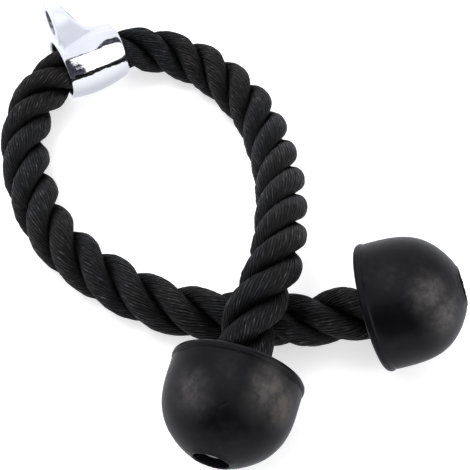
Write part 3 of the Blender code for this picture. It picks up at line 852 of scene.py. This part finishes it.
def make_studio():
    scene = bpy.context.scene
    scene.view_settings.view_transform = "Standard"
    scene.view_settings.look = "None"
    scene.view_settings.exposure = 0.0

    world = bpy.data.worlds.new("studio")
    scene.world = world
    world.use_nodes = True
    tree = world.node_tree
    for node in list(tree.nodes):
        tree.nodes.remove(node)

    def new(kind, **values):
        node = tree.nodes.new(kind)
        for key, value in values.items():
            setattr(node, key, value)
        return node

    out = new("ShaderNodeOutputWorld")
    where = new("ShaderNodeTexCoord")
    split = new("ShaderNodeSeparateXYZ")
    tree.links.new(where.outputs["Generated"], split.inputs[0])
    # a bright window to the right, dark round the camera, pale elsewhere
    def calc(operation, one, two=None):
        node = new("ShaderNodeMath", operation=operation)
        for socket, value in zip(node.inputs, (one, two)):
            if isinstance(value, (int, float)):
                socket.default_value = value
            elif value is not None:
                tree.links.new(value, socket)
        return node.outputs[0]

    def step(value, low, high):
        node = new("ShaderNodeMapRange")
        node.interpolation_type = "SMOOTHSTEP"
        for key, number in zip(("From Min", "From Max"), (low, high)):
            node.inputs[key].default_value = number
        tree.links.new(value, node.inputs["Value"])
        return node.outputs["Result"]

    def blend(share, one, two):
        node = new("ShaderNodeMix", data_type="RGBA")
        tree.links.new(share, node.inputs[0])
        for socket, value in ((node.inputs[6], one), (node.inputs[7], two)):
            if isinstance(value, tuple):
                socket.default_value = (*value, 1.0)
            else:
                tree.links.new(value, socket)
        return node.outputs[2]

    def curve(value, points):
        """A function of value given by (value from 0 to 1, result in degrees) points."""
        node = new("ShaderNodeFloatCurve")
        line = node.mapping.curves[0]
        while len(line.points) < len(points):
            line.points.new(0.5, 0.5)
        for point, (x, y) in zip(line.points, points):
            point.location = (x, y / 120.0)
            point.handle_type = "VECTOR"
        node.mapping.update()
        tree.links.new(value, node.inputs["Value"])
        return calc("MULTIPLY", node.outputs[0], 120.0)

    def flip(value):
        return calc("SUBTRACT", 1.0, value)

    east = split.outputs["X"]
    south = calc("MULTIPLY", split.outputs["Y"], -1.0)
    rise = calc("MULTIPLY", calc("ARCTAN2", split.outputs["Z"], south), 180.0 / math.pi)
    level = calc("MULTIPLY", calc("ARCSINE", split.outputs["Z"]), 180.0 / math.pi)
    round_ = calc("MULTIPLY", calc("ARCTAN2", east, south), 180.0 / math.pi)
    pale, white, dark = (1.06, 1.07, 1.15), (1.9, 1.9, 1.9), (0.035, 0.035, 0.045)
    clutter = new("ShaderNodeTexNoise")
    clutter.inputs["Scale"].default_value = 15.0
    clutter.inputs["Detail"].default_value = 6.0
    clutter.inputs["Roughness"].default_value = 0.75
    tree.links.new(where.outputs["Generated"], clutter.inputs["Vector"])
    rag = calc("SUBTRACT", clutter.outputs["Fac"], 0.5)
    specks = blend(step(clutter.outputs["Fac"], 0.53, 0.64), dark, (0.26, 0.27, 0.33))
    # the open side of the studio is dark and cluttered; a tall window stands to the right of it
    edge = calc("ADD", calc("SUBTRACT", east, calc("SUBTRACT", 0.055, calc("MULTIPLY", rise, 0.0022))), calc("MULTIPLY", rag, 0.38))
    past = calc("MULTIPLY", step(edge, -0.012, 0.012), flip(step(east, 0.92, 0.97)))
    open_side = calc("MULTIPLY", flip(step(edge, -0.012, 0.012)), step(round_, -95.0, -70.0))
    sky = blend(calc("MULTIPLY", open_side, flip(step(calc("ADD", rise, calc("MULTIPLY", rag, 16.0)), 71.0, 75.0))), pale, specks)
    jagged = calc("ADD", rise, calc("MULTIPLY", rag, 14.0))
    under = curve(east, WINDOW_TOP)
    over = curve(east, FRAME_TOP)
    sky = blend(calc("MULTIPLY", past, flip(step(calc("SUBTRACT", jagged, over), -0.8, 0.8))), sky, specks)
    lit = calc("MULTIPLY", step(calc("SUBTRACT", jagged, 8.0), -1.5, 1.5), flip(step(calc("SUBTRACT", jagged, under), -0.8, 0.8)))
    sky = blend(calc("MULTIPLY", past, lit), sky, white)
    # the floor, paler towards its far edge
    ground = blend(step(level, -78.0, -8.0), (0.74, 0.75, 0.80), (1.14, 1.15, 1.21))
    sky = blend(step(level, -1.5, 0.5), ground, sky)

    studio = new("ShaderNodeBackground")
    tree.links.new(sky, studio.inputs[0])
    studio.inputs[1].default_value = 1.0
    plain = new("ShaderNodeBackground")
    plain.inputs[0].default_value = (0.98, 0.98, 1.0, 1.0)
    plain.inputs[1].default_value = 1.0
    path = new("ShaderNodeLightPath")
    pick = new("ShaderNodeMixShader")
    tree.links.new(path.outputs["Is Glossy Ray"], pick.inputs[0])
    tree.links.new(plain.outputs[0], pick.inputs[1])
    tree.links.new(studio.outputs[0], pick.inputs[2])
    tree.links.new(pick.outputs[0], out.inputs[0])

    key = bpy.data.lights.new("overhead_softbox", "AREA")
    key.shape = "RECTANGLE"
    key.size, key.size_y = 0.9, 0.6
    key.energy = 9.0
    lamp = bpy.data.objects.new("overhead_softbox", key)
    lamp.location = (-0.25, 0.55, 1.25)
    lamp.rotation_mode = "QUATERNION"
    lamp.rotation_quaternion = (Vector((0, 0, 0)) - Vector(lamp.location)).to_track_quat("-Z", "Y")
    bpy.context.scene.collection.objects.link(lamp)
    lamp.visible_glossy = False

    floor = mesh_object(
        "floor",
        np.array([(-4000, -4000, -0.05), (4000, -4000, -0.05), (4000, 4000, -0.05), (-4000, 4000, -0.05)], float),
        [[0, 1, 2, 3]], smooth=False,
    )
    wear(floor, floor_material())
    floor.visible_glossy = False    # the studio pattern stands for it in reflections


# -------------------------------------------------------------------- main
rope = build_rope()
collar = build_collar()
ends = (("front", FRONT_RIM, FRONT_AXIS, 5), ("right", RIGHT_RIM, RIGHT_AXIS, 17))
stops = [build_stop(*end) for end in ends]
screws = [build_screw(*end[:3]) for end in ends]
washers = [build_washer(*end[:3]) for end in ends]

wear(rope, rope_material())
wear(collar, chrome_material())
rubber = rubber_material()
black_steel = steel_material("black_oxide_steel", (0.10, 0.10, 0.105), 0.34)
zinc = steel_material("zinc_plated_steel", (0.52, 0.52, 0.54), 0.30)
for piece in stops:
    wear(piece, rubber)
for piece in screws:
    wear(piece, zinc)
for piece in washers:
    wear(piece, black_steel)
for name in ("rope_end_ferrule_front", "rope_end_ferrule_right"):
    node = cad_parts[name]
    for slot in node.material_slots:
        slot.material = zinc

make_studio()
